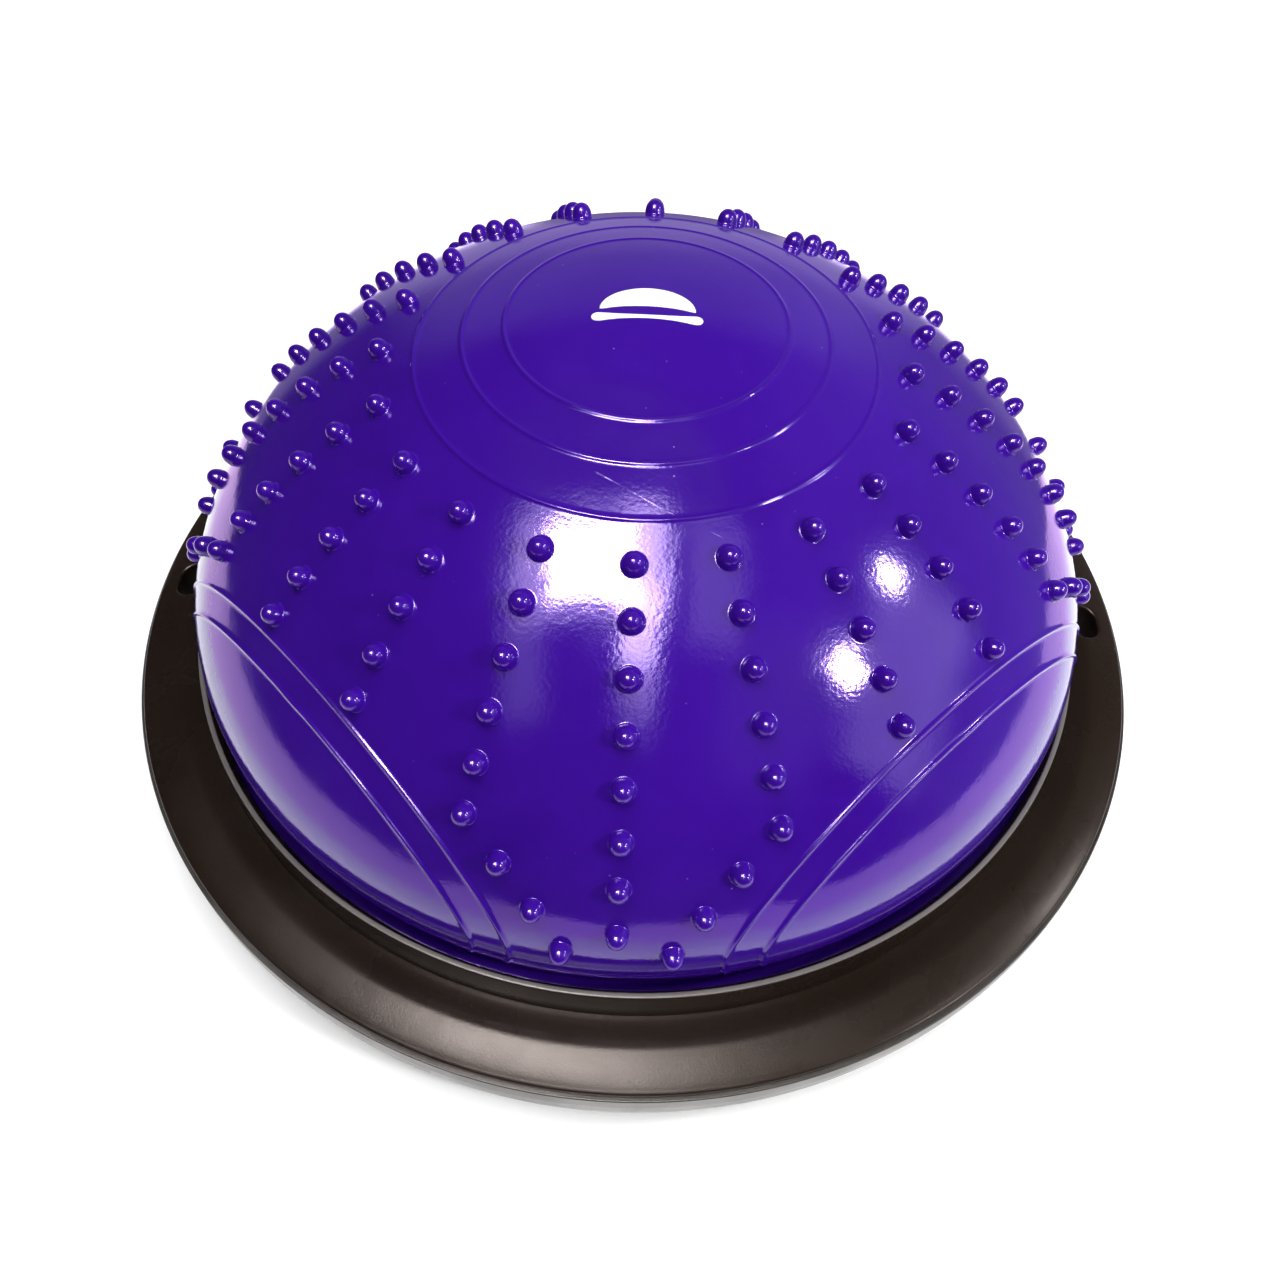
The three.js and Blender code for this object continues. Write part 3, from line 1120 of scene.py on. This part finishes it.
def scratch(g, pos, a, b, width):
    """1 on a thin line from a to b, in metres."""
    a, b = Vector(a), Vector(b)
    u = (b - a).normalized()
    rel = g.vmath("SUBTRACT", pos, tuple(a))
    along = g.vmath("DOT_PRODUCT", rel, tuple(u))
    off = g.vmath("LENGTH", g.vmath("CROSS_PRODUCT", rel, tuple(u)))
    line = g.ramp(off, width * 0.4, width, 1.0, 0.0)
    on = g.math(
        "MULTIPLY",
        g.ramp(along, 0.0, 0.004),
        g.ramp(along, (b - a).length - 0.006, (b - a).length, 1.0, 0.0),
    )
    return g.math("MULTIPLY", line, on)


def vinyl_material():
    m, g, bsdf, pos = material("dome_vinyl_gloss")
    cloud = g.noise(pos, 9.0, 3.0, 0.55)
    fine = g.noise(pos, 60.0, 3.0, 0.6)
    colour = g.mix(
        g.ramp(cloud, 0.32, 0.70), (0.0290, 0.0024, 0.200, 1), (0.0345, 0.0033, 0.232, 1)
    )
    colour = g.mix(g.ramp(fine, 0.45, 0.75, 0.0, 0.25), colour, (0.040, 0.0048, 0.262, 1))
    dust = g.math(
        "MAXIMUM", specks(g, pos, 95.0, 0.030, 0.30), specks(g, pos, 210.0, 0.055, 0.16)
    )
    patch = g.ramp(g.noise(pos, 14.0, 2.0, 0.5), 0.42, 0.66)
    dust = g.math("MULTIPLY", dust, patch)
    lines = None
    for a, b, w in (
        ((-0.019, -0.090, 0.2410), (0.0115, -0.1053, 0.2355), 0.00045),
        ((0.0115, -0.1053, 0.2352), (0.0385, -0.1142, 0.2284), 0.00035),
        ((-0.055, -0.187, 0.170), (-0.049, -0.190, 0.1665), 0.00035),
        ((0.070, 0.110, 0.222), (0.112, 0.084, 0.219), 0.0004),
        ((-0.160, 0.060, 0.196), (-0.148, 0.085, 0.192), 0.0004),
    ):
        s = scratch(g, pos, a, b, w)
        lines = s if lines is None else g.math("MAXIMUM", lines, s)
    lines = g.math("MULTIPLY", lines, g.ramp(g.noise(pos, 420.0, 1.0), 0.35, 0.6, 0.25, 0.8))
    marks = g.math("MAXIMUM", dust, lines)
    colour = g.mix(g.math("MULTIPLY", marks, 0.55), colour, (0.42, 0.33, 0.72, 1))
    g.put(bsdf, "Base Color", colour)
    smear = g.noise(g.vmath("MULTIPLY", pos, (22.0, 22.0, 7.0)), 1.0, 4.0, 0.6, 0.6)
    rough = g.ramp(smear, 0.35, 0.75, 0.085, 0.150)
    rough = g.math("MULTIPLY_ADD", marks, 0.35, rough)
    g.put(bsdf, "Roughness", rough)
    bsdf.inputs["IOR"].default_value = 1.5
    bsdf.inputs["Specular Tint"].default_value = (0.74, 0.54, 1.0, 1.0)
    # orange peel, slow ripples and the fine drag of the moulding
    peel = g.noise(pos, 560.0, 1.5, 0.5)
    ripple = g.noise(pos, 120.0, 1.0, 0.5)
    n1 = g.bump(ripple, 0.09, 0.0006)
    n2 = g.bump(peel, 0.15, 0.00030, n1)
    n3 = g.bump(marks, 0.25, 0.0001, n2)
    g.put(bsdf, "Normal", n3)
    return m


def plastic_material():
    m, g, bsdf, pos = material("base_plastic_satin")
    sep = g.node("ShaderNodeSeparateXYZ", {"Vector": pos})
    cloud = g.noise(pos, 7.0, 4.0, 0.6)
    grain = g.noise(pos, 900.0, 3.0, 0.65)
    colour = g.mix(
        g.ramp(cloud, 0.3, 0.7), (0.0092, 0.0050, 0.0032, 1), (0.0128, 0.0080, 0.0055, 1)
    )
    colour = g.mix(g.ramp(grain, 0.45, 0.72, 0.0, 0.35), colour, (0.024, 0.016, 0.012, 1))
    # the lip's top edge (above 64.8 mm) is painted lighter: partly rubbed wear, partly a painted sheen of the overhead
    # light on the rounded edge
    lip_wear_and_sheen = g.ramp(sep.outputs[2], 0.0648, 0.0653)
    colour = g.mix(g.math("MULTIPLY", lip_wear_and_sheen, 0.8), colour, (0.19, 0.175, 0.165, 1))
    dust = specks(g, pos, 70.0, 0.022, 0.22)
    colour = g.mix(g.math("MULTIPLY", dust, 0.5), colour, (0.30, 0.29, 0.27, 1))
    g.put(bsdf, "Base Color", colour)
    smear = g.noise(g.vmath("MULTIPLY", pos, (14.0, 14.0, 30.0)), 1.0, 4.0, 0.6)
    g.put(bsdf, "Roughness", g.ramp(smear, 0.3, 0.75, 0.25, 0.36))
    bsdf.inputs["IOR"].default_value = 1.5
    bsdf.inputs["Specular IOR Level"].default_value = 0.15
    bsdf.inputs["Specular Tint"].default_value = (1.0, 0.88, 0.83, 1.0)
    n1 = g.bump(g.noise(pos, 1100.0, 3.0, 0.65), 0.42, 0.00015)
    n2 = g.bump(g.noise(pos, 45.0, 2.0, 0.5), 0.12, 0.0012, n1)
    g.put(bsdf, "Normal", n2)
    return m


def pan_material():
    m, g, bsdf, pos = material("pan_plastic_satin")
    cloud = g.noise(pos, 8.0, 4.0, 0.6)
    grain = g.noise(pos, 800.0, 3.0, 0.65)
    colour = g.mix(
        g.ramp(cloud, 0.3, 0.7), (0.014, 0.0115, 0.0095, 1), (0.021, 0.019, 0.0150, 1)
    )
    colour = g.mix(g.ramp(grain, 0.45, 0.72, 0.0, 0.35), colour, (0.040, 0.037, 0.032, 1))
    dust = specks(g, pos, 60.0, 0.022, 0.25)
    colour = g.mix(g.math("MULTIPLY", dust, 0.4), colour, (0.24, 0.23, 0.22, 1))
    g.put(bsdf, "Base Color", colour)
    g.put(bsdf, "Roughness", g.ramp(g.noise(pos, 30.0, 3.0), 0.3, 0.7, 0.30, 0.42))
    bsdf.inputs["Specular Tint"].default_value = (1.0, 0.92, 0.88, 1.0)
    n1 = g.bump(g.noise(pos, 1300.0, 2.0, 0.6), 0.45, 0.00015)
    g.put(bsdf, "Normal", n1)
    return m


def rubber_material():
    m, g, bsdf, pos = material("foot_rubber_matt")
    spots = g.noise(pos, 260.0, 4.0, 0.6)
    g.put(
        bsdf,
        "Base Color",
        g.mix(g.ramp(spots, 0.35, 0.7), (0.011, 0.011, 0.012, 1), (0.024, 0.024, 0.025, 1)),
    )
    g.put(bsdf, "Roughness", g.ramp(spots, 0.3, 0.7, 0.68, 0.86))
    g.put(bsdf, "Normal", g.bump(g.noise(pos, 1600.0, 2.0), 0.4, 0.0002))
    return m


def steel_material():
    m, g, bsdf, pos = material("screw_zinc")
    v = g.node("ShaderNodeTexVoronoi", {"Vector": pos, "Scale": 900.0})
    tone = g.ramp(v.outputs["Distance"], 0.1, 0.8)
    g.put(
        bsdf,
        "Base Color",
        g.mix(tone, (0.42, 0.44, 0.46, 1), (0.62, 0.62, 0.60, 1)),
    )
    bsdf.inputs["Metallic"].default_value = 1.0
    g.put(bsdf, "Roughness", g.ramp(g.noise(pos, 500.0, 3.0), 0.3, 0.7, 0.28, 0.46))
    g.put(bsdf, "Normal", g.bump(g.noise(pos, 1400.0, 2.0), 0.25, 0.0001))
    return m


def valve_material():
    m, g, bsdf, pos = material("valve_vinyl_white")
    c = g.noise(pos, 160.0, 3.0, 0.6)
    g.put(
        bsdf,
        "Base Color",
        g.mix(g.ramp(c, 0.3, 0.75), (0.66, 0.64, 0.59, 1), (0.74, 0.72, 0.68, 1)),
    )
    g.put(bsdf, "Roughness", g.ramp(c, 0.3, 0.7, 0.34, 0.48))
    bsdf.inputs["Subsurface Weight"].default_value = 0.12
    bsdf.inputs["Subsurface Radius"].default_value = (0.003, 0.002, 0.0015)
    g.put(bsdf, "Normal", g.bump(g.noise(pos, 900.0, 2.0), 0.2, 0.0001))
    return m


def ink_material():
    m, g, bsdf, pos = material("print_ink_white")
    worn = g.noise(pos, 700.0, 3.0, 0.7)
    g.put(
        bsdf,
        "Base Color",
        g.mix(g.ramp(worn, 0.60, 0.74), (0.86, 0.85, 0.88, 1), (0.55, 0.50, 0.70, 1)),
    )
    g.put(bsdf, "Roughness", g.ramp(worn, 0.3, 0.7, 0.30, 0.42))
    g.put(bsdf, "Normal", g.bump(g.noise(pos, 1200.0, 2.0), 0.25, 0.0001))
    return m


def floor_material(name, near, far, tone=(1.0, 1.0, 1.0)):
    m, g, bsdf, pos = material(name)
    c = g.noise(pos, 3.0, 3.0, 0.5)
    away = g.vmath("LENGTH", pos)
    tint = g.mix(g.ramp(away, 0.39, 0.46), (1.0, 1.0, 1.0, 1), (*tone, 1))
    g.put(bsdf, "Base Color", g.mix(g.ramp(c, 0.3, 0.7, 0.19, 0.22), tint, (0.0, 0.0, 0.0, 1)))
    g.put(bsdf, "Roughness", g.ramp(c, 0.3, 0.7, 0.72, 0.80))
    g.put(bsdf, "Emission Color", tint)
    g.put(bsdf, "Emission Strength", g.ramp(away, 1.0, 3.0, near, far))
    return m


def wear(ob, mat):
    ob.data.materials.clear()
    ob.data.materials.append(mat)


VINYL, PLASTIC, PAN = vinyl_material(), plastic_material(), pan_material()
RUBBER, STEEL, VALVE, INK = (
    rubber_material(),
    steel_material(),
    valve_material(),
    ink_material(),
)

dome = build_dome()
wear(dome, VINYL)
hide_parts("dome_bladder")
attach(dome, "dome")
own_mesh(dome)

sheet = build_bottom_sheet()
wear(sheet, VINYL)
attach(sheet, "base")

mark = build_print()
wear(mark, INK)
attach(mark, "dome")
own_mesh(mark)

ring = build_ring()
wear(ring, PLASTIC)
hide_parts("top_ring")
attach(ring, "base")

pan = build_pan()
wear(pan, PAN)
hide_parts("bottom_pan")
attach(pan, "base")

pad_master = build_pad_mesh()
wear(pad_master, RUBBER)
for i in range(8):
    a = math.radians(22.5 + 45 * i)
    pad = bpy.data.objects.new(f"foot_{i + 1}", pad_master.data)
    scene.collection.objects.link(pad)
    pad.location = (
        PAD_CIRCLE_R * math.cos(a) * MM,
        PAD_CIRCLE_R * math.sin(a) * MM,
        0.0,
    )
    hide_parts(f"foot_pad_{i + 1}")
    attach(pad, "base")
bpy.data.objects.remove(pad_master)

screw_master = build_screw_mesh()
wear(screw_master, STEEL)
for i in range(12):
    a = math.radians(15 + 30 * i)
    screw = bpy.data.objects.new(f"screw_{i + 1}", screw_master.data)
    scene.collection.objects.link(screw)
    screw.location = (SCREW_R * math.cos(a) * MM, SCREW_R * math.sin(a) * MM, 0.0)
    screw.rotation_euler = (0, 0, a * 1.7)
    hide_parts(f"base_screw_{i + 1}")
    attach(screw, "base")
bpy.data.objects.remove(screw_master)

insert = build_insert()
wear(insert, VALVE)
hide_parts("valve_insert")
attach(insert, "base")

plug = build_plug()
wear(plug, VALVE)
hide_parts("valve_plug")
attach(plug, "valve_plug")

# ==================================================================================== stage
FLOOR = floor_material("floor_white", 0.26, 1.0)
TABLE = floor_material("table_glow", 0.85, 0.85, (0.97, 0.66, 1.05))


def plane(name, outline, z, mat):
    verts = [(x, y, z) for x, y in outline]
    ob = new_object(name, verts, [list(range(len(verts)))], smooth=False)
    wear(ob, mat)
    return ob


far_floor = plane("floor_far", [(-9, -9), (9, -9), (9, 9), (-9, 9)], -0.0006, FLOOR)
far_floor.visible_glossy = False
near_floor = plane(
    "floor_near",
    [
        (-0.72, 0.26),
        (-0.72, -0.10),
        (-0.57, -0.45),
        (-0.26, -0.60),
        (0.24, -0.60),
        (0.50, -0.42),
        (0.70, -0.10),
        (0.70, 0.26),
    ],
    -0.0003,
    TABLE,
)
near_floor.visible_camera = False  # only the gloss sees this sheet
near_floor.visible_shadow = False
near_floor.visible_diffuse = False


def area(name, at, size, power, glossy=True, target=(0, 0, 0.1), colour=(1, 1, 1)):
    data = bpy.data.lights.new(name, "AREA")
    data.shape, data.size, data.size_y = "RECTANGLE", size[0], size[1]
    data.energy, data.color = power, colour
    ob = bpy.data.objects.new(name, data)
    scene.collection.objects.link(ob)
    ob.location = at
    if target is not None:
        ob.rotation_mode = "QUATERNION"
        ob.rotation_quaternion = (Vector(at) - Vector(target)).to_track_quat("Z", "Y")
    ob.visible_glossy = glossy
    ob.visible_camera = False
    return ob


def toward(az, zenith, distance, centre=(0, 0, 0.18)):
    a, z = math.radians(az), math.radians(zenith)
    return (
        centre[0] + distance * math.sin(z) * math.sin(a),
        centre[1] - distance * math.sin(z) * math.cos(a),
        centre[2] + distance * math.cos(z),
    )


# overhead softbox, level, a little to the front left: seen in the gloss, and its wash
key = area("key_softbox", (-0.405, -0.675, 2.2), (0.76, 0.66), 108, target=(-0.405, -0.675, 0))
key.visible_diffuse = False
area("key_wash", (-0.25, -0.20, 2.3), (1.9, 1.7), 36, glossy=False, target=(-0.30, -0.45, 0))
area("lamp_right", toward(88, 58, 2.6), (0.22, 0.26), 17.0)
area("lamp_front_right", toward(61.5, 58.5, 2.6), (0.28, 0.32), 32.0)
area("fill_overhead", (0.3, 0.8, 2.7), (3.2, 3.4), 42, glossy=False, target=(0.3, 0.8, 0))

world = bpy.data.worlds.new("studio")
scene.world = world
world.use_nodes = True
w = Graph(world.node_tree)
for n in list(world.node_tree.nodes):
    world.node_tree.nodes.remove(n)
way = w.vmath("NORMALIZE", w.node("ShaderNodeTexCoord").outputs["Generated"])
axes = w.node("ShaderNodeSeparateXYZ", {"Vector": way})
zen = w.math("MULTIPLY", w.math("ARCCOSINE", axes.outputs[2]), 180 / math.pi)
flat = w.math(
    "MAXIMUM",
    w.math(
        "SQRT",
        w.math(
            "ADD",
            w.math("MULTIPLY", axes.outputs[0], axes.outputs[0]),
            w.math("MULTIPLY", axes.outputs[1], axes.outputs[1]),
        ),
    ),
    1e-4,
)
wx = w.math("MULTIPLY", zen, w.math("DIVIDE", axes.outputs[0], flat))
wy = w.math("MULTIPLY", zen, w.math("DIVIDE", w.math("MULTIPLY", axes.outputs[1], -1.0), flat))


def band(v, lo, hi, soft_lo, soft_hi):
    return w.math(
        "MULTIPLY",
        w.ramp(v, lo - soft_lo, lo + soft_lo),
        w.ramp(v, hi - soft_hi, hi + soft_hi, 1.0, 0.0),
    )


def patch(x0, x1, y0, y1, sx0, sx1, sy0, sy1, level):
    return w.math(
        "MULTIPLY",
        w.math("MULTIPLY", band(wx, x0, x1, sx0, sx1), band(wy, y0, y1, sy0, sy1)),
        level,
    )


glow = [
    patch(-3.6, 5, 24, 45, 0.6, 1.4, 4, 7, 3.2),  # the softbox's stand and its bright cloth
    patch(-3.6, 5, 20, 35, 0.6, 1.4, 4, 5, 14.0),
    patch(0.4, 5.6, 30, 50, 1.0, 1.8, 6, 8, 1.4),
    patch(-27.5, 7, 2.5, 26, 3.0, 2.5, 4, 4, 4.0),  # the softbox's spill
    patch(-3.5, 6, 3, 27, 2.5, 1.8, 3.5, 4, 9.5),
    patch(-31, -21, 14, 46, 2.5, 3.5, 6, 6, 0.9),
    patch(12, 24, 4, 30, 2.0, 3.0, 4, 5, 1.2),
    patch(22, 46, 22, 58, 6, 8, 8, 8, 0.17),
    patch(54, 80, -6, 44, 5, 6, 8, 3, 1.15),
    patch(30, 125, -80, 42, 12, 20, 20, 10, 0.11),
    patch(-45, 42, -105, -50, 8, 10, 6, 7, 0.17),
    patch(-120, 120, -120, -84, 14, 14, 10, 7, 0.12),
    patch(-70, -20, -150, -108, 8, 5, 8, 6, 0.85),
    patch(20, 70, -150, -108, 5, 8, 8, 6, 0.85),
]
shine = w.math("ADD", 0.020, glow[0])
for x in glow[1:]:
    shine = w.math("ADD", shine, x)
shine = w.math("MULTIPLY", shine, 1.7)
path = w.node("ShaderNodeLightPath")
behind = w.ramp(wy, -85.0, -50.0, 1.0, 0.0)  # the room behind is cooler
glossy = w.node(
    "ShaderNodeCombineColor",
    {
        0: w.math("MULTIPLY", shine, w.math("MULTIPLY_ADD", behind, 0.08, 1.0)),
        1: w.math("MULTIPLY", shine, w.math("MULTIPLY_ADD", behind, -0.10, 1.0)),
        2: w.math("MULTIPLY", shine, w.math("MULTIPLY_ADD", behind, 0.45, 1.0)),
    },
)
seen = w.mix(path.outputs["Is Glossy Ray"], (0.22, 0.22, 0.225, 1), glossy.outputs[0])
seen = w.mix(path.outputs["Is Camera Ray"], seen, (1.0, 1.0, 1.0, 1))
shader = w.node("ShaderNodeBackground", {"Color": seen, "Strength": 1.0})
out = w.node("ShaderNodeOutputWorld", {"Surface": shader.outputs[0]})

scene.view_settings.view_transform = "Standard"
scene.view_settings.look = "None"
